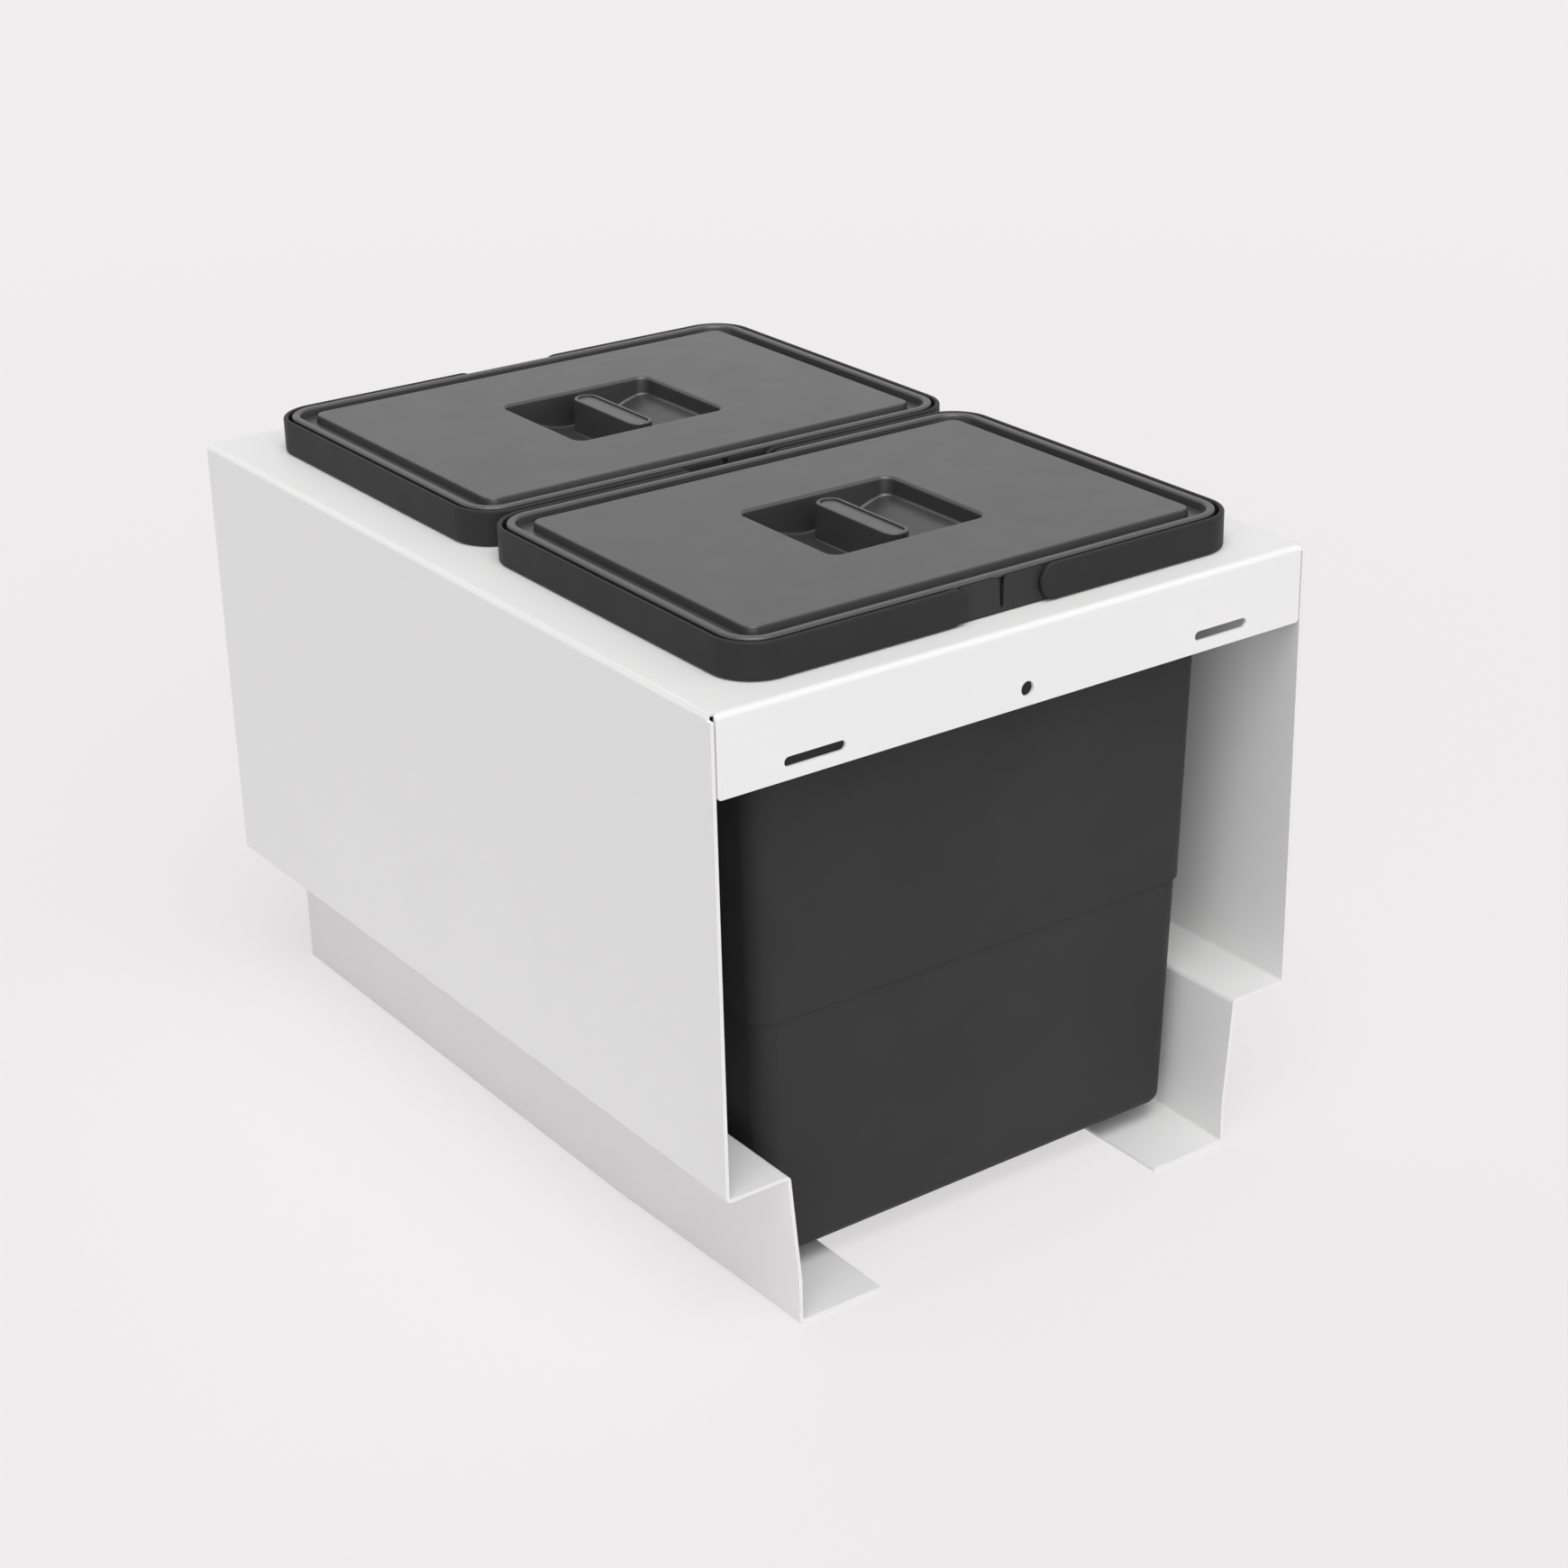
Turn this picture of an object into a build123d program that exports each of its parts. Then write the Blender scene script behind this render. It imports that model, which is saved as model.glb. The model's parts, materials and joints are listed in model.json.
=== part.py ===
# Pull-out bin frame: a folded sheet frame for undermount runners, and the two lidded bins that hang in it.
# The origin is under the middle of the frame, on the plane that its feet stand on.
# X runs across the front, Y from the front to the back, and Z up.

import os

from build123d import *

os.makedirs("parts", exist_ok=True)

# Frame, outside sizes
frame_width = 357.0
frame_depth = 493.0
frame_height = 328.0
sheet = 2.0
bend_inside = 1.0
ledge_height = 82.5
ledge_width = 35.0
foot_reach = 89.0

# Frame, the pinch that draws the front of each lower wall in to clear the runner's catch
pinch = 5.2
knee_height = 24.0
crease_run = 44.0
heel_run = 155.0

# Frame, front flange with its fixing holes
flange_height = 41.0
flange_side_gap = 0.8
flange_corner = 2.0
relief_diameter = 2.4
slot_length = 34.0
slot_width = 5.0
slot_pitch = 245.6
fixing_drop = 32.2
pin_hole_diameter = 7.5

# Bins, outline of the rim that stands on the plate
rim_length = 302.4
rim_width = 224.8
rim_corner = 23.3
front_margin = 16.4
bin_gap = 2.6
opening_clearance = 1.0

# Bucket, body
body_inset = 11.6
bucket_wall = 2.2
upper_draft = 4.2
step_height = 145.0
step_inset = 1.2
lower_draft = 3.7
bucket_bottom = 11.7
base_radius = 6.4
base_recess = 1.2
base_foot = 12.0

# Bucket, rim
rest_gap = 0.3
rim_flange = 2.5
rim_flange_inset = 3.4
rim_wall_inset = 6.3
rim_wall = 1.6
rim_wall_height = 16.9
rim_edge_round = 0.5

# Bucket, the pads that carry the handles' pivots, and the tab between each pair of them
pad_half_width = 46.0
pad_inset = 4.6
pad_height = 13.0
pad_corner = 3.0
tab_half_width = 25.0
tab_inset = 3.2
tab_height = 17.6
tab_skin = 1.0
tab_corner = 1.5
slit_top_width = 3.0
slit_foot_width = 2.0
slit_foot = 2.4
slit_foot_round = 0.8
slit_mouth_radius = 2.2

# Handles
handle_strap = 2.6
handle_height = 18.4
handle_lift = 0.6
handle_round = 1.1
pivot_offset = 31.0
boss_reach = 4.2
pivot_radius = 3.0
pivot_reach = 7.2
pivot_clearance = 0.05
boss_clearance = 0.5

# Lid, rim and panel
lid_top = 19.5
lid_wall = 2.2
ridge_inset = 4.6
ridge_width = 5.2
ridge_flank = 0.8
ridge_round = 1.3
skirt_wall = 1.4
skirt_drop = 5.8
notch_width = 9.0
seat_gap = 0.3
channel_depth = 4.5
panel_inset = 17.2
panel_flank = 1.1
panel_corner = 7.0
panel_round = 0.8

# Lid, finger pocket and grip bar
pocket_length = 93.4
pocket_width = 80.4
pocket_corner = 6.0
pocket_draft = 1.4
pocket_round = 1.8
scoop_depth = 19.4
shelf_depth = 9.7
scoop_half = 5.0
scoop_rise = 43.0
scoop_round = 1.5
bar_length = 66.6
bar_width = 14.2
bar_flare = 0.9
bar_sunk = 0.8
bar_round = 0.6
bar_foot_round = 1.0
bar_border = 1.8
inlay_recess = 2.2
inlay_sunk = 0.9
inlay_clearance = 0.1

# Cuts run past what they cut by this much
overrun = 5.0

# Places that follow from the sizes above
half_width = frame_width / 2
half_depth = frame_depth / 2
front_edge = -half_depth
bend_outside = bend_inside + sheet
flange_half = half_width - sheet - flange_side_gap
front_bin_y = front_edge + front_margin + rim_width / 2
rear_bin_y = front_bin_y + rim_width + bin_gap
bin_places = {"front": front_bin_y, "rear": rear_bin_y}
rim_seat = frame_height + rest_gap
rim_shelf = rim_seat + rim_flange
rim_top = rim_seat + rim_wall_height
handle_foot = frame_height + handle_lift
pivot_height = handle_foot + handle_height / 2
pivot_round = handle_height / 2
panel_level = frame_height + lid_top
channel_level = panel_level - channel_depth
skirt_level = panel_level - skirt_drop
bar_level = panel_level - bar_sunk


def rim_outline(inset, mode=Mode.ADD):
    """A rounded rectangle that runs inside the rim's outer edge at a constant distance."""
    return RectangleRounded(rim_length - 2 * inset, rim_width - 2 * inset, rim_corner - inset, mode=mode)


def body_outline(taper):
    """The body's outline, drawn in by its taper at a constant corner radius."""
    inset = body_inset + taper
    return RectangleRounded(rim_length - 2 * inset, rim_width - 2 * inset, rim_corner - body_inset)


def panel_outline(grow):
    """The raised middle of the lid, whose corners are tighter than the rim's."""
    inset = panel_inset - grow
    return RectangleRounded(rim_length - 2 * inset, rim_width - 2 * inset, panel_corner + grow)


def rim_plane(side, inset):
    """The upright plane inside the front of the rim, for side -1, or inside its back, for side 1."""
    return Plane((0, side * (rim_width / 2 - inset), 0), x_dir=(-side, 0, 0), z_dir=(0, side, 0))


# The front flange, bent down from the plate, with two slots and a hole for fixing a drawer front
with BuildPart() as flange:
    with BuildSketch(Plane.YZ):
        with BuildLine():
            FilletPolyline(
                (front_edge + 2 * bend_outside, frame_height),
                (front_edge, frame_height),
                (front_edge, frame_height - flange_height),
                radius=bend_outside,
            )
            offset(amount=sheet, side=Side.LEFT)
        make_face()
    extrude(amount=flange_half, both=True)
    fillet(flange.edges().filter_by(Axis.Y).group_by(Axis.Z)[0], flange_corner)
    with BuildSketch(Plane.XZ.offset(half_depth)):
        with Locations((0, frame_height - fixing_drop)):
            Circle(pin_hole_diameter / 2)
            with GridLocations(slot_pitch, 0, 2, 1):
                SlotOverall(slot_length, slot_width)
    extrude(amount=-sheet, mode=Mode.SUBTRACT)

# The wedge by which the front of the left lower wall is drawn in: three flats that meet at the knee
wall_x = -half_width + ledge_width
wedge_top = ledge_height - bend_inside
top_corner = Vector(wall_x, front_edge, wedge_top)
crease = Vector(wall_x, front_edge + crease_run, wedge_top)
heel = Vector(wall_x, front_edge + heel_run, 0)
toe = Vector(wall_x + pinch, front_edge, 0)
knee = Vector(wall_x + pinch, front_edge, knee_height)

with BuildPart() as wedge:
    with BuildSketch(Plane.YZ.offset(wall_x)):
        with BuildLine():
            Polyline(
                (front_edge, 0),
                (front_edge + heel_run, 0),
                (front_edge + crease_run, wedge_top),
                (front_edge, wedge_top),
                close=True,
            )
        make_face()
    extrude(amount=pinch)
    for start, end in ((top_corner, crease), (crease, heel), (heel, toe)):
        flat = Plane(start, x_dir=end - start, z_dir=(end - start).cross(knee - start))
        split(bisect_by=flat, keep=Keep.TOP)


def bend_corner(shift, level, radius):
    """What a bend's radius takes off or fills in along the slanting foot of the pinched wall."""
    ends = ((front_edge, wall_x + pinch + shift), (front_edge + heel_run, wall_x + shift))
    with BuildPart() as corner:
        for y, x in ends:
            with BuildSketch(Plane.XZ.offset(-y)):
                with BuildLine():
                    Polyline((x, level + radius), (x, level), (x + radius, level))
                    CenterArc((x + radius, level + radius), radius, 180, 90)
                make_face()
        loft(ruled=True)
    return corner


inner_corner = bend_corner(sheet, sheet, bend_inside)
outer_corner = bend_corner(0, 0, bend_outside)

with BuildPart() as pinch_fill:
    with Locations((sheet, 0, 0)):
        add(wedge.part)
    add(inner_corner.part)
    mirror(about=Plane.YZ)

with BuildPart() as pinch_cut:
    add(wedge.part)
    add(outer_corner.part)
    mirror(about=Plane.YZ)

# The frame: one blank, folded from the plate down both sides, in under the ledges and out along the feet
with BuildPart() as bin_frame:
    with BuildSketch(Plane.XZ.offset(half_depth)):
        with BuildLine():
            FilletPolyline(
                (0, frame_height),
                (half_width, frame_height),
                (half_width, ledge_height),
                (half_width - ledge_width, ledge_height),
                (half_width - ledge_width, 0),
                (half_width - foot_reach, 0),
                radius=(bend_outside, bend_outside, bend_inside, bend_outside),
            )
            offset(amount=sheet, side=Side.RIGHT)
        make_face()
        mirror(about=Plane.YZ)
    extrude(amount=-frame_depth)

    # The plate stops short of the front by the flange's bend, and each corner has a round relief
    with BuildSketch(Plane.XZ.offset(half_depth)):
        with Locations((0, frame_height)):
            Rectangle(frame_width, bend_outside, align=(Align.CENTER, Align.MAX))
    extrude(amount=-bend_outside, mode=Mode.SUBTRACT)
    add(flange.part)
    with BuildSketch(Plane.XY.offset(frame_height)):
        with Locations((0, front_edge + bend_outside)):
            with GridLocations(frame_width - 2 * bend_outside, 0, 2, 1):
                Circle(relief_diameter / 2)
    extrude(amount=-bend_outside, mode=Mode.SUBTRACT)

    # The openings that the two bins hang in
    with BuildSketch(Plane.XY.offset(frame_height)):
        with Locations(*[(0, y) for y in bin_places.values()]):
            body_outline(-opening_clearance)
    extrude(amount=-sheet, mode=Mode.SUBTRACT)

    # The pinch moves the sheet in by the wedge, at its own thickness
    add(pinch_fill.part)
    add(pinch_cut.part, mode=Mode.SUBTRACT)

bin_frame.part.label = "bin_frame"
export_step(bin_frame.part, "parts/bin_frame.step")


def body_form(shrink, base, top):
    """The tapered body with its step as a solid, drawn in all round by a wall's thickness."""
    stepped = upper_draft + step_inset
    tapers = {base: stepped + lower_draft, step_height: stepped, step_height + step_inset: upper_draft, top: 0}
    with BuildPart() as form:
        for level, taper in tapers.items():
            with BuildSketch(Plane.XY.offset(level)):
                body_outline(taper + shrink)
        loft(ruled=True)
        fillet(form.edges().group_by(Axis.Z)[0], base_radius - shrink)
    return form


# The bucket: a tapered body that hangs by its flange, and a rim wall that the lid closes over
body_outside = body_form(0, bucket_bottom, rim_shelf)
body_inside = body_form(bucket_wall, bucket_bottom + bucket_wall, rim_shelf)

with BuildPart() as bucket:
    add(body_outside.part)
    for inset, height in ((rim_flange_inset, rim_flange), (rim_wall_inset, rim_wall_height)):
        with BuildSketch(Plane.XY.offset(rim_seat)):
            rim_outline(inset)
        extrude(amount=height)
    with BuildSketch(Plane.XY.offset(rim_shelf)):
        rim_outline(rim_wall_inset + rim_wall)
    extrude(amount=rim_wall_height, mode=Mode.SUBTRACT)
    add(body_inside.part, mode=Mode.SUBTRACT)
    fillet(bucket.edges().group_by(Axis.Z)[-1], rim_edge_round)

    # The underside stands on a low foot all round
    with BuildSketch(Plane.XY.offset(bucket_bottom)):
        body_outline(upper_draft + step_inset + lower_draft + base_foot)
    extrude(amount=base_recess, mode=Mode.SUBTRACT)

    for side in (-1, 1):
        # The pad that thickens the rim wall at both pivots
        with BuildSketch(rim_plane(side, pad_inset)) as pad:
            with Locations((0, rim_seat)):
                Rectangle(2 * pad_half_width, pad_height, align=(Align.CENTER, Align.MIN))
            fillet(pad.vertices().group_by(Axis.Y)[-1], pad_corner)
        extrude(amount=pad_inset - rim_wall_inset)

        # The tab that covers the gap between the handles' ends, free of the lid's skirt above the pad
        for skin, height in ((tab_skin, tab_height), (pad_inset - tab_inset, pad_height)):
            with BuildSketch(rim_plane(side, tab_inset)) as tab:
                with Locations((0, rim_seat)):
                    Rectangle(2 * tab_half_width, height, align=(Align.CENTER, Align.MIN))
                fillet(tab.vertices().group_by(Axis.Y)[-1], tab_corner)
            extrude(amount=-skin)

        # The slit in the tab's middle narrows towards its foot and has a rounded mouth
        with BuildSketch(rim_plane(side, tab_inset)) as slit:
            with BuildLine():
                Polyline(
                    (slit_foot_width / 2, rim_seat + slit_foot),
                    (slit_top_width / 2, rim_seat + tab_height),
                    (-slit_top_width / 2, rim_seat + tab_height),
                    (-slit_foot_width / 2, rim_seat + slit_foot),
                    close=True,
                )
            make_face()
            fillet(slit.vertices().group_by(Axis.Y)[0], slit_foot_round)
            with Locations((0, rim_seat + tab_height)):
                mouth_width = slit_top_width + 2 * slit_mouth_radius
                Rectangle(mouth_width, slit_mouth_radius, align=(Align.CENTER, Align.MAX))
            with Locations((0, rim_seat + tab_height - slit_mouth_radius)):
                with GridLocations(mouth_width, 0, 2, 1):
                    Circle(slit_mouth_radius, mode=Mode.SUBTRACT)
        extrude(amount=tab_inset - rim_wall_inset, mode=Mode.SUBTRACT)

        # Round room for the bosses behind the handles' ends, and the holes that their pivots turn in
        with BuildSketch(rim_plane(side, -overrun)):
            with Locations((0, pivot_height)):
                with GridLocations(2 * pivot_offset, 0, 2, 1):
                    Circle(pivot_round - handle_round + boss_clearance)
        extrude(amount=-overrun - pad_inset, mode=Mode.SUBTRACT)
        with BuildSketch(rim_plane(side, pad_inset)):
            with Locations((0, pivot_height)):
                with GridLocations(2 * pivot_offset, 0, 2, 1):
                    Circle(pivot_radius + pivot_clearance)
        extrude(amount=pad_inset - rim_wall_inset - rim_wall, mode=Mode.SUBTRACT)

# The left handle: half of a strap round the rim, with round ends that turn on pivots in the bucket
with BuildPart() as left_handle:
    with BuildSketch(Plane.XY.offset(handle_foot)):
        rim_outline(0)
        rim_outline(handle_strap, mode=Mode.SUBTRACT)
    extrude(amount=handle_height)
    rings = left_handle.edges().group_by(Axis.Z)
    fillet(rings[0] + rings[-1], handle_round)
    split(bisect_by=Plane.YZ.offset(-pivot_offset), keep=Keep.BOTTOM)
    for side in (-1, 1):
        outer_y = side * rim_width / 2
        inner_y = outer_y - side * handle_strap
        with BuildSketch(Plane.YZ.offset(-pivot_offset)) as end:
            with Locations(((outer_y + inner_y) / 2, pivot_height)):
                Rectangle(handle_strap, pivot_round, align=(Align.CENTER, Align.MIN))
            fillet(end.vertices().group_by(Axis.Y)[-1], handle_round)
        revolve(axis=Axis((-pivot_offset, 0, pivot_height), (0, 1, 0)), revolution_arc=180)
        with BuildSketch(rim_plane(side, handle_strap)):
            with Locations((side * pivot_offset, pivot_height)):
                Circle(pivot_round - handle_round)
        extrude(amount=handle_strap - boss_reach)
        with BuildSketch(rim_plane(side, handle_strap)):
            with Locations((side * pivot_offset, pivot_height)):
                Circle(pivot_radius)
        extrude(amount=handle_strap - pivot_reach)

with BuildPart() as right_handle:
    add(left_handle.part.mirror(Plane.YZ))


def pocket_form(grow, top):
    """The finger pocket as a solid, made larger all round by the thickness of its wall."""
    scoop_level = panel_level - scoop_depth - grow
    shelf_level = panel_level - shelf_depth - grow
    reach = pocket_length / 2 + grow + overrun
    with BuildPart() as form:
        for level, inward in ((top, -grow), (scoop_level, pocket_draft - grow)):
            with BuildSketch(Plane.XY.offset(level)):
                RectangleRounded(pocket_length - 2 * inward, pocket_width - 2 * inward, pocket_corner + grow)
        loft(ruled=True)
        with BuildSketch(Plane.XZ):
            with BuildLine():
                Polyline(
                    (scoop_half, scoop_level),
                    (0, scoop_level),
                    (0, top + overrun),
                    (reach, top + overrun),
                    (reach, shelf_level),
                    (scoop_half + scoop_rise, shelf_level),
                )
                Spline(
                    (scoop_half, scoop_level),
                    (scoop_half + scoop_rise, shelf_level),
                    tangents=((1, 0), (1, 0)),
                )
            make_face()
            mirror(about=Plane.YZ)
        extrude(amount=pocket_width, both=True, mode=Mode.INTERSECT)
        fillet(form.faces().sort_by(Axis.Z)[0].edges().filter_by(Axis.X), scoop_round + grow)
    return form


def bar_form(grow, base, top):
    """The grip bar as a solid with flared sides, made larger all round by a wall's thickness."""
    with BuildPart() as form:
        for level, flare in ((base, bar_flare), (top, 0)):
            with BuildSketch(Plane.XY.offset(level)):
                spread = 2 * (flare + grow)
                SlotOverall(bar_length + spread, bar_width + spread, rotation=90)
        loft(ruled=True)
    return form


# The lid: a ridge over the bucket's rim wall, a channel, and a raised panel with a pocket and a bar to grip
scoop_level = panel_level - scoop_depth
pocket_outside = pocket_form(lid_wall, panel_level - lid_wall)
pocket_inside = pocket_form(0, panel_level)
bar_outside = bar_form(0, scoop_level, bar_level)
bar_inside = bar_form(-lid_wall, scoop_level - lid_wall, bar_level - inlay_recess - lid_wall)
groove_inset = ridge_inset + skirt_wall
leg_inset = rim_wall_inset + rim_wall + seat_gap

with BuildPart() as lid:
    with BuildSketch(Plane.XY.offset(skirt_level)):
        rim_outline(ridge_inset)
    extrude(amount=skirt_drop)
    for level, flank in ((panel_level, ridge_flank), (channel_level, 0)):
        with BuildSketch(Plane.XY.offset(level)):
            rim_outline(ridge_inset + ridge_width - flank)
    loft(ruled=True, mode=Mode.SUBTRACT)
    fillet(lid.edges().group_by(Axis.Z)[-1], ridge_round)

    # The channel's floor, and the panel's raised shell
    with BuildSketch(Plane.XY.offset(channel_level - lid_wall)):
        rim_outline(leg_inset)
    extrude(amount=lid_wall)
    for level, flank in ((channel_level, 0), (panel_level, -panel_flank)):
        with BuildSketch(Plane.XY.offset(level)):
            panel_outline(flank)
    loft(ruled=True)
    panel_edges = lid.faces().filter_by(Plane.XY).group_by(Axis.Z)[-1].sort_by(SortBy.AREA)[-1].edges()
    fillet(panel_edges, panel_round)

    # The groove that closes over the bucket's rim wall, and the hollow under the panel
    with BuildSketch(Plane.XY.offset(rim_top + seat_gap)):
        rim_outline(groove_inset)
        rim_outline(leg_inset, mode=Mode.SUBTRACT)
    extrude(amount=-rim_wall_height, mode=Mode.SUBTRACT)
    for level, flank in ((channel_level - lid_wall, 0), (panel_level - lid_wall, -panel_flank)):
        with BuildSketch(Plane.XY.offset(level)):
            panel_outline(flank - lid_wall)
    loft(ruled=True, mode=Mode.SUBTRACT)

    # A notch in the skirt behind the slit in each of the bucket's tabs
    for side in (-1, 1):
        with BuildSketch(rim_plane(side, ridge_inset)):
            with Locations((0, skirt_level)):
                notch_height = rim_top + seat_gap - skirt_level
                Rectangle(notch_width, notch_height, align=(Align.CENTER, Align.MIN))
        extrude(amount=-skirt_wall, mode=Mode.SUBTRACT)

    # The pocket, and the hollow bar that stands in it
    add(pocket_outside.part)
    add(pocket_inside.part, mode=Mode.SUBTRACT)
    pocket_edges = lid.faces().filter_by(Plane.XY).group_by(Axis.Z)[-1].sort_by(SortBy.AREA)[-1].inner_wires()
    fillet(pocket_edges[0].edges(), pocket_round)
    scooped = lid.part
    add(bar_outside.part)
    fillet(new_edges(scooped, bar_outside.part, combined=lid.part), bar_foot_round)
    fillet(lid.faces().filter_by(Plane.XY).group_by(Axis.Z)[-2].sort_by(SortBy.AREA)[0].edges(), bar_round)
    add(bar_inside.part, mode=Mode.SUBTRACT)
    with BuildSketch(Plane.XY.offset(bar_level)):
        SlotOverall(bar_length - 2 * bar_border, bar_width - 2 * bar_border, rotation=90)
    extrude(amount=-inlay_recess, mode=Mode.SUBTRACT)

# The soft inlay that lies in the top of the bar
with BuildPart() as grip_inlay:
    inlay_border = 2 * (bar_border + inlay_clearance)
    with BuildSketch(Plane.XY.offset(bar_level - inlay_recess)):
        SlotOverall(bar_length - inlay_border, bar_width - inlay_border, rotation=90)
    extrude(amount=inlay_recess - inlay_sunk)

# Both bins are the same, one behind the other
bin_pieces = {
    "bucket": bucket,
    "lid": lid,
    "left_handle": left_handle,
    "right_handle": right_handle,
    "grip_inlay": grip_inlay,
}
for place, y in bin_places.items():
    for kind, piece in bin_pieces.items():
        with BuildPart() as placed:
            with Locations((0, y, 0)):
                add(piece.part)
        placed.part.label = f"{place}_{kind}"
        export_step(placed.part, f"parts/{place}_{kind}.step")
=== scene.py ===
import json
import math

import bmesh
import bpy
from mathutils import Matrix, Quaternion, Vector


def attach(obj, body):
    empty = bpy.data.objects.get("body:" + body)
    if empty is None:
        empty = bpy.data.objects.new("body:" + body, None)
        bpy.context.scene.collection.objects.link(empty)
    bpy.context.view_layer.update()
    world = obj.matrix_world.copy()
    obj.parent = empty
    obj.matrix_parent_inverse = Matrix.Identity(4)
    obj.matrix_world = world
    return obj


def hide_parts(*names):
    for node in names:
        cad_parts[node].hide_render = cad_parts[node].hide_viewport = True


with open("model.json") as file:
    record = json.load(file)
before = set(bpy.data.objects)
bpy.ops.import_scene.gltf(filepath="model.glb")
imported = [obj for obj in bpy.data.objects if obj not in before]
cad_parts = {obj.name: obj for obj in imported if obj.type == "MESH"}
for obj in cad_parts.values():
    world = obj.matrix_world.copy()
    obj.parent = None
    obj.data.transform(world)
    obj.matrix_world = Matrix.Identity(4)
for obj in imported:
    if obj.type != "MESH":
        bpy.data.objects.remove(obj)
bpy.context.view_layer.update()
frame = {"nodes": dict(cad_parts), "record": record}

mm = 0.001

# Camera at the photo's viewing angle
photoView = {
    "azimuth": -36.6,            # degrees, 0 looks along +Y
    "elevation": 23.36,
    "roll": 0.69,
    "distance": 1.691,           # metres from the target
    "target": (0.0752, -0.017, 0.17),
    "lens": 70.19,
    "shift": (-0.0517, -0.0259),
}


def addCamera(view):
    azimuth, elevation = math.radians(view["azimuth"]), math.radians(view["elevation"])
    level = math.cos(elevation)
    back = Vector((math.sin(azimuth) * level, -math.cos(azimuth) * level, math.sin(elevation)))
    roll = Quaternion((0, 0, 1), -math.radians(view["roll"]))
    data = bpy.data.cameras.new("photoCamera")
    data.lens = view["lens"]
    data.shift_x, data.shift_y = view["shift"]
    camera = bpy.data.objects.new("photoCamera", data)
    camera.location = Vector(view["target"]) + back * view["distance"]
    camera.rotation_mode = "QUATERNION"
    camera.rotation_quaternion = (-back).to_track_quat("-Z", "Y") @ roll
    bpy.context.scene.collection.objects.link(camera)
    bpy.context.scene.camera = camera


addCamera(photoView)
print("camera placed")


# Shader maths: a wire is one socket, and arithmetic on wires adds the Math nodes
class Wire:
    def __init__(self, finish, socket):
        self.finish = finish
        self.socket = socket

    def calc(self, operation, *values):
        return self.finish.add("ShaderNodeMath", {"operation": operation}, dict(enumerate(values)))

    def __add__(self, other):
        return self.calc("ADD", self, other)

    def __radd__(self, other):
        return self.calc("ADD", other, self)

    def __sub__(self, other):
        return self.calc("SUBTRACT", self, other)

    def __rsub__(self, other):
        return self.calc("SUBTRACT", other, self)

    def __mul__(self, other):
        return self.calc("MULTIPLY", self, other)

    def __rmul__(self, other):
        return self.calc("MULTIPLY", other, self)


class Finish:
    def __init__(self, name, world=False):
        self.data = bpy.data.worlds.new(name) if world else bpy.data.materials.new(name)
        self.data.use_nodes = True
        self.tree = self.data.node_tree
        self.tree.nodes.clear()

    # One node of any type: its settings go in first, then the values or wires of its inputs
    def add(self, kind, settings=None, inputs=None, output=0):
        node = self.tree.nodes.new(kind)
        for key, value in (settings or {}).items():
            setattr(node, key, value)
        for key, value in (inputs or {}).items():
            if isinstance(value, Wire):
                self.tree.links.new(value.socket, node.inputs[key])
            else:
                node.inputs[key].default_value = value
        return Wire(self, node.outputs[output]) if node.outputs else node

    def place(self):
        return self.add("ShaderNodeTexCoord", output="Object")

    # Scale in cells per metre, detail and roughness of the noise, from 0 to 1 round a middle of 0.5
    def noise(self, scale, detail, rough):
        inputs = {"Vector": self.place(), "Scale": scale, "Detail": detail, "Roughness": rough}
        return self.add("ShaderNodeTexNoise", {}, inputs)

    def smooth(self, value, low, high, toLow, toHigh):
        settings = {"interpolation_type": "SMOOTHSTEP"}
        inputs = {"Value": value, "From Min": low, "From Max": high, "To Min": toLow, "To Max": toHigh}
        return self.add("ShaderNodeMapRange", settings, inputs)

    def shaded(self, colour, shade):
        inputs = {0: colour[:3], "Scale": shade}
        return self.add("ShaderNodeVectorMath", {"operation": "SCALE"}, inputs)

    def blend(self, factor, first, second):
        inputs = {"Factor": factor, "A": first, "B": second}
        return self.add("ShaderNodeMix", {"data_type": "RGBA"}, inputs, "Result")


# Plain pale studio
studio = {
    "backdrop": (0.871, 0.855, 0.863, 1),
    "ambient": (0.24, 0.24, 0.24, 1),
    "floorColour": (0.84, 0.825, 0.832, 1),
    "floorSize": 40.0,
    "floorLevel": -0.1 * mm,     # just clear of the feet
    "fadeNear": 0.70,            # share of the backdrop in the floor round the frame, the rest is lit
    "fadeFrom": 0.5,             # metres from the middle, up to where that share holds
    "fadeTo": 2.4,               # and from where on the floor is all backdrop
    "suns": {
        "leftSun": {"from": (-0.50, -0.71, 0.50), "strength": 1.12, "angle": 65},
        "frontSun": {"from": (-0.12, -0.70, 0.71), "strength": 0.32, "angle": 65},
        "topSun": {"from": (-0.15, -0.21, 0.97), "strength": 1.44, "angle": 45},
        "rightSun": {"from": (0.69, -0.58, 0.42), "strength": 0.16, "angle": 35},
    },
}


# 1 where the camera sees the surface itself, in a gloss or through glass, 0 where it only lights the rest
def seenDirectly(finish):
    outputs = finish.add("ShaderNodeLightPath").socket.node.outputs
    seen, glossy, through = (
        Wire(finish, outputs[name]) for name in ("Is Camera Ray", "Is Glossy Ray", "Is Transmission Ray")
    )
    return seen + glossy + through


def addSky(settings):
    sky = Finish("studioSky", world=True)
    colour = sky.blend(seenDirectly(sky), settings["ambient"], settings["backdrop"])
    background = sky.add("ShaderNodeBackground", {}, {"Color": colour})
    sky.add("ShaderNodeOutputWorld", {}, {"Surface": background})
    bpy.context.scene.world = sky.data


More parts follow.
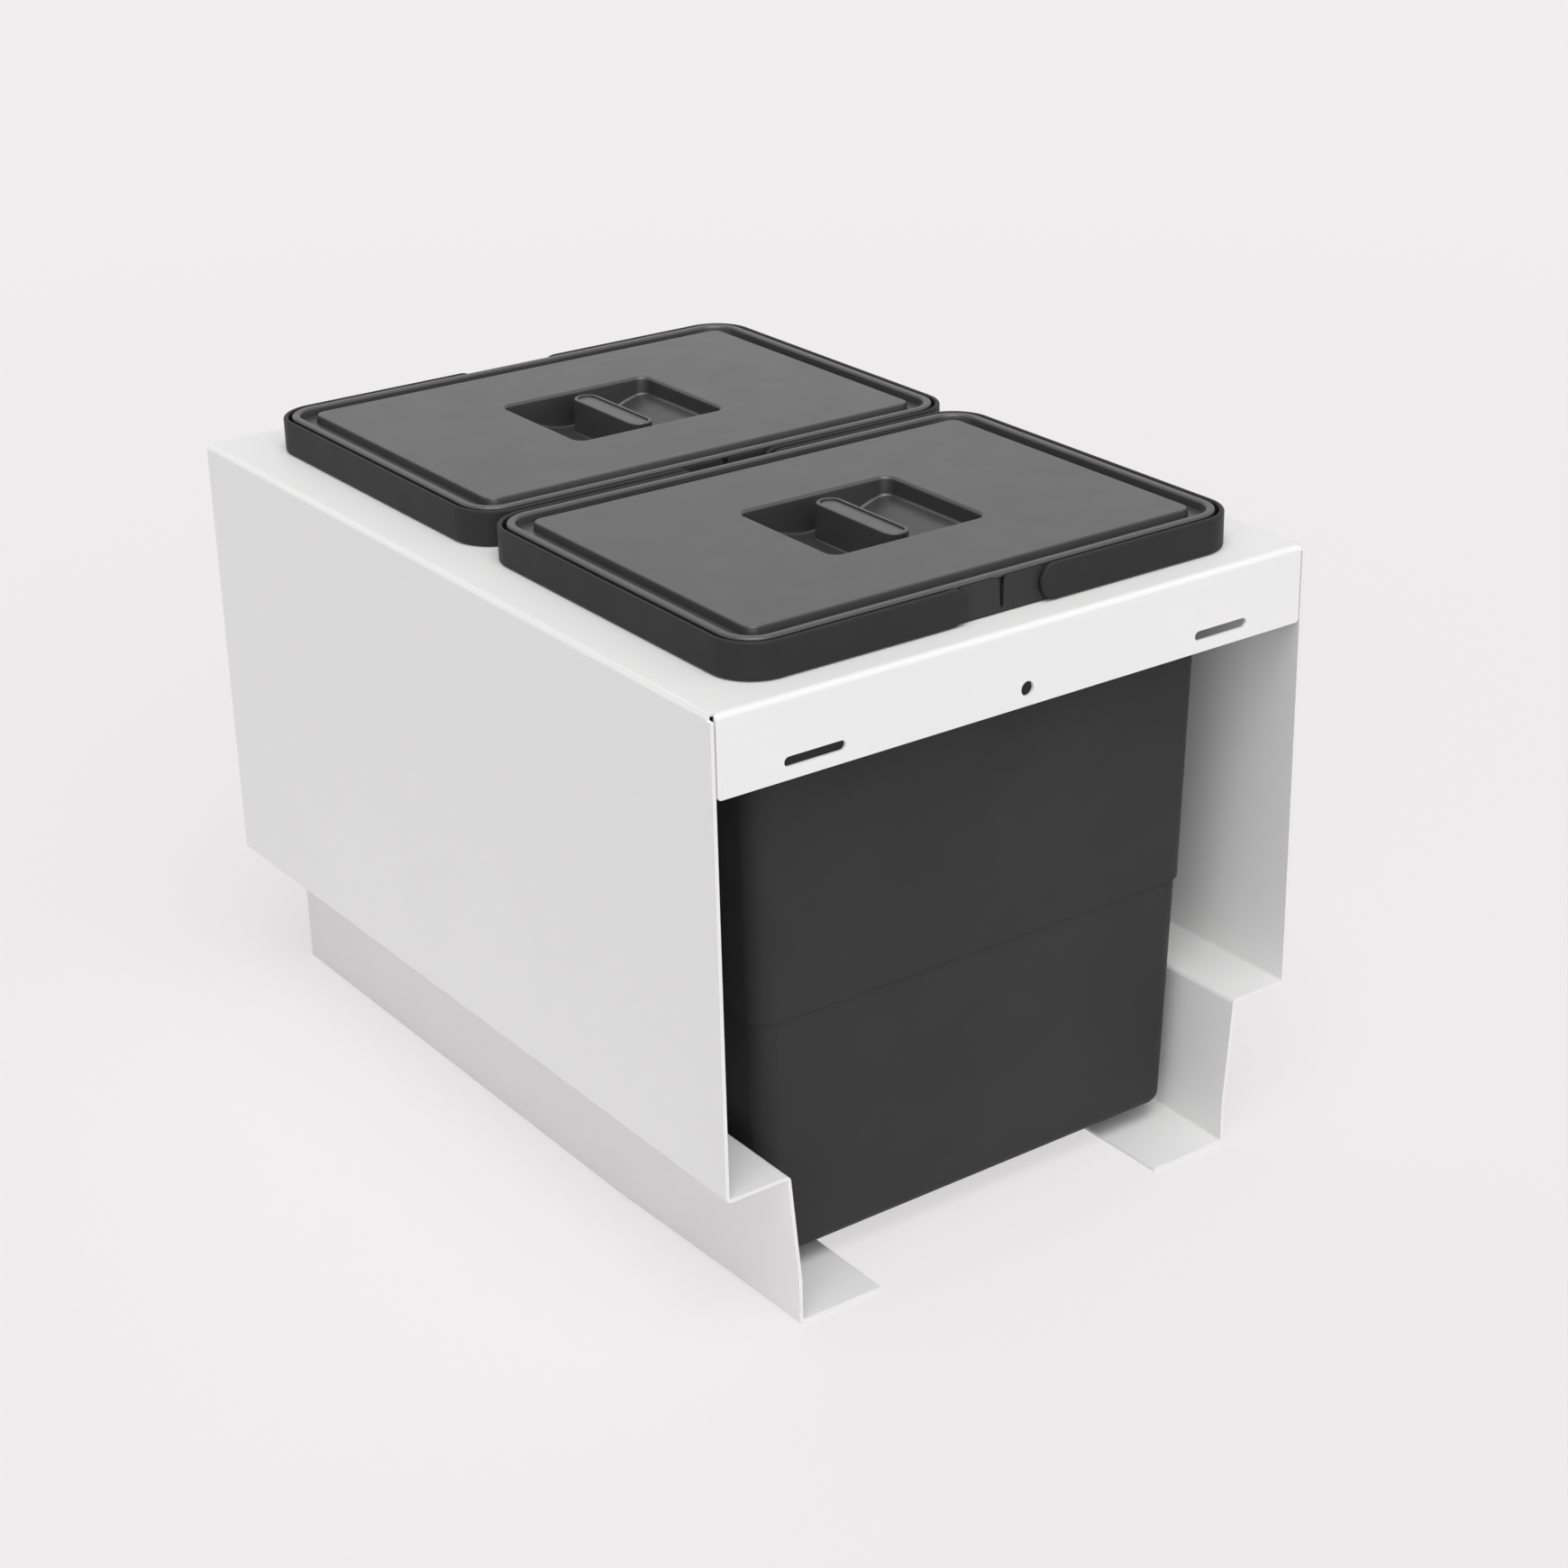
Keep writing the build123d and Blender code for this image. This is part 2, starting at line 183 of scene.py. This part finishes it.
def addFloor(settings):
    paper = Finish("studioFloor")
    spread = paper.add("ShaderNodeVectorMath", {"operation": "LENGTH"}, {0: paper.place()}, "Value")
    lit = paper.add("ShaderNodeBsdfDiffuse", {}, {"Color": settings["floorColour"]})
    flat = paper.add("ShaderNodeEmission", {}, {"Color": settings["backdrop"]})
    fade = paper.smooth(spread, settings["fadeFrom"], settings["fadeTo"], settings["fadeNear"], 1.0)
    mixed = paper.add("ShaderNodeMixShader", {}, {0: fade * seenDirectly(paper), 1: lit, 2: flat})
    paper.add("ShaderNodeOutputMaterial", {}, {"Surface": mixed})
    bpy.ops.object.select_all(action="DESELECT")
    bpy.ops.mesh.primitive_plane_add(size=settings["floorSize"], location=(0, 0, settings["floorLevel"]))
    bpy.ops.object.transform_apply(location=True, rotation=False, scale=False)
    floor = bpy.context.object
    floor.name = "studioFloor"
    floor.data.materials.append(paper.data)


def addSun(name, sun):
    data = bpy.data.lights.new(name, "SUN")
    data.energy = sun["strength"]
    data.angle = math.radians(sun["angle"])
    lamp = bpy.data.objects.new(name, data)
    lamp.rotation_euler = Vector(sun["from"]).to_track_quat("Z", "Y").to_euler()
    bpy.context.scene.collection.objects.link(lamp)


addSky(studio)
addFloor(studio)
for name, sun in studio["suns"].items():
    addSun(name, sun)
bpy.context.scene.view_settings.view_transform = "Standard"
print("studio lit")


# Finishes
noiseSpan = (0.3, 0.7)           # where nearly all of a noise lies
noiseMiddle = 0.5

coatSettings = {
    "colour": (0.87, 0.865, 0.862, 1),
    "shadeNoise": (9.0, 3.0, 0.5),
    "darkest": 0.988,            # share of the colour where the coat is darkest
    "peelNoise": (900.0, 2.0, 0.4),    # orange peel
    "gritNoise": (4500.0, 1.0, 0.5),
    "gritShare": 0.2,
    "peelHeight": 0.012 * mm,
    "roughness": 0.55,
    "roughNoise": (60.0, 3.0, 0.5),
    "roughSwing": 0.08,
    "ior": 1.5,
}


def makeWhiteCoat(name, coat):
    finish = Finish(name)
    shade = finish.smooth(finish.noise(*coat["shadeNoise"]), *noiseSpan, coat["darkest"], 1.0)
    colour = finish.shaded(coat["colour"], shade)
    rough = coat["roughness"] + coat["roughSwing"] * (finish.noise(*coat["roughNoise"]) - noiseMiddle)
    height = finish.noise(*coat["peelNoise"]) + coat["gritShare"] * finish.noise(*coat["gritNoise"])
    bump = finish.add("ShaderNodeBump", {},
                      {"Strength": 1.0, "Distance": coat["peelHeight"], "Height": height})
    shader = finish.add("ShaderNodeBsdfPrincipled", {},
                        {"Base Color": colour, "Roughness": rough, "Normal": bump, "IOR": coat["ior"]})
    finish.add("ShaderNodeOutputMaterial", {}, {"Surface": shader})
    return finish.data


# Buckets, lids, handles and inlays are made up alike, each with its own shade, gloss and grain
plasticSettings = {
    "bucketPlastic": {"colour": (0.036, 0.036, 0.037, 1), "ior": 1.25, "grain": 2600.0,
                      "height": 0.010 * mm, "roughness": 0.52},
    "lidPlastic": {"colour": (0.034, 0.034, 0.035, 1), "ior": 1.70, "grain": 2200.0,
                   "height": 0.008 * mm, "roughness": 0.36},
    "handlePlastic": {"colour": (0.029, 0.029, 0.030, 1), "ior": 1.22, "grain": 3000.0,
                      "height": 0.008 * mm, "roughness": 0.50},
    "inlayRubber": {"colour": (0.040, 0.040, 0.041, 1), "ior": 1.85, "grain": 1800.0,
                    "height": 0.014 * mm, "roughness": 0.38},
}
mouldSettings = {
    "grainDetail": (2.0, 0.6),
    "grainSwing": 0.06,
    "flowNoise": (14.0, 4.0, 0.55),
    "flowShades": (0.93, 1.05),
    "roughNoise": (45.0, 3.0, 0.5),
    "roughSwing": 0.10,
}


def makePlastic(name, plastic, mould):
    finish = Finish(name)
    grain = finish.noise(plastic["grain"], *mould["grainDetail"])
    shade = finish.smooth(finish.noise(*mould["flowNoise"]), *noiseSpan, *mould["flowShades"])
    colour = finish.shaded(plastic["colour"], shade)
    worn = mould["roughSwing"] * (finish.noise(*mould["roughNoise"]) - noiseMiddle)
    rough = plastic["roughness"] + worn + mould["grainSwing"] * (grain - noiseMiddle)
    bump = finish.add("ShaderNodeBump", {},
                      {"Strength": 1.0, "Distance": plastic["height"], "Height": grain})
    shader = finish.add("ShaderNodeBsdfPrincipled", {},
                        {"Base Color": colour, "Roughness": rough, "Normal": bump, "IOR": plastic["ior"]})
    finish.add("ShaderNodeOutputMaterial", {}, {"Surface": shader})
    return finish.data


finishes = {name: makePlastic(name, plastic, mouldSettings) for name, plastic in plasticSettings.items()}
finishes["whiteCoat"] = makeWhiteCoat("whiteCoat", coatSettings)
print("finishes made")


# What shows of each node is a copy of its mesh, merged, flattened into whole faces and smoothed over bends
skinSettings = {
    "mergeDistance": 0.002 * mm,
    "flatAngle": 0.05,           # degrees, triangles of one flat face become one face
    "smoothAngle": 36,           # degrees, the widest turn between the facets of a round
    "creaseAngle": 1.0,          # degrees, a fold between two broad flats stays sharp from this turn on
    "creaseWidth": 4 * mm,       # and this is how broad such a flat is
    "edgeAngle": 40,             # degrees, edges that are cut or moulded sharper than this are eased
    "edgeSegments": 2,
    "largeFaceWeight": 100,      # how far large faces set the shading of their edges
    "kinds": {
        "frame": {"finish": "whiteCoat", "slot": "white_coated_steel", "edgeRadius": 0.25 * mm},
        "bucket": {"finish": "bucketPlastic", "slot": "anthracite_bucket", "edgeRadius": 0.0},
        "lid": {"finish": "lidPlastic", "slot": "grey_lid", "edgeRadius": 0.0},
        "handle": {"finish": "handlePlastic", "slot": "anthracite_handle", "edgeRadius": 0.0},
        "inlay": {"finish": "inlayRubber", "slot": "grip_inlay", "edgeRadius": 0.15 * mm},
    },
}


def faceWidth(face):
    longest = max(edge.calc_length() for edge in face.edges)
    return face.calc_area() / longest


def copyNode(node):
    piece = bpy.data.objects.new(node + "Skin", frame["nodes"][node].data.copy())
    piece.data.name = piece.name
    bpy.context.scene.collection.objects.link(piece)
    bpy.ops.object.select_all(action="DESELECT")
    piece.select_set(True)
    bpy.context.view_layer.objects.active = piece
    return piece


def flattenFaces(skins):
    bpy.ops.object.mode_set(mode="EDIT")
    bpy.ops.mesh.select_all(action="SELECT")
    bpy.ops.mesh.remove_doubles(threshold=skins["mergeDistance"])
    bpy.ops.mesh.customdata_custom_splitnormals_clear()
    bpy.ops.mesh.dissolve_limited(angle_limit=math.radians(skins["flatAngle"]))
    bpy.ops.object.mode_set(mode="OBJECT")


def easeEdges(piece, radius, skins):
    bevel = piece.modifiers.new("edges", "BEVEL")
    bevel.width = radius
    bevel.segments = skins["edgeSegments"]
    bevel.limit_method = "ANGLE"
    bevel.angle_limit = math.radians(skins["edgeAngle"])
    bevel.use_clamp_overlap = False
    bpy.ops.object.modifier_apply(modifier=bevel.name)


def smoothRounds(piece, skins):
    bpy.ops.object.shade_smooth_by_angle(angle=math.radians(skins["smoothAngle"]))
    mesh = bmesh.new()
    mesh.from_mesh(piece.data)
    for edge in mesh.edges:
        if edge.smooth and edge.calc_face_angle(0) > math.radians(skins["creaseAngle"]):
            edge.smooth = min(faceWidth(face) for face in edge.link_faces) < skins["creaseWidth"]
    mesh.to_mesh(piece.data)
    mesh.free()
    shading = piece.modifiers.new("shading", "WEIGHTED_NORMAL")
    shading.weight = skins["largeFaceWeight"]
    shading.keep_sharp = True
    bpy.ops.object.modifier_apply(modifier=shading.name)


def dressNode(node, body, skins):
    kind = skins["kinds"][node.split("_")[-1]]
    piece = copyNode(node)
    flattenFaces(skins)
    if kind["edgeRadius"]:
        easeEdges(piece, kind["edgeRadius"], skins)
    smoothRounds(piece, skins)
    piece.data.materials.clear()
    piece.data.materials.append(finishes[kind["finish"]])
    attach(piece, body)
    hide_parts(node)
    return piece


for body, nodes in frame["record"]["behaviour"]["bodies"].items():
    for node in nodes:
        piece = dressNode(node, body, skinSettings)
        print(piece.name, "rides on", body, "with", len(piece.data.polygons), "faces")
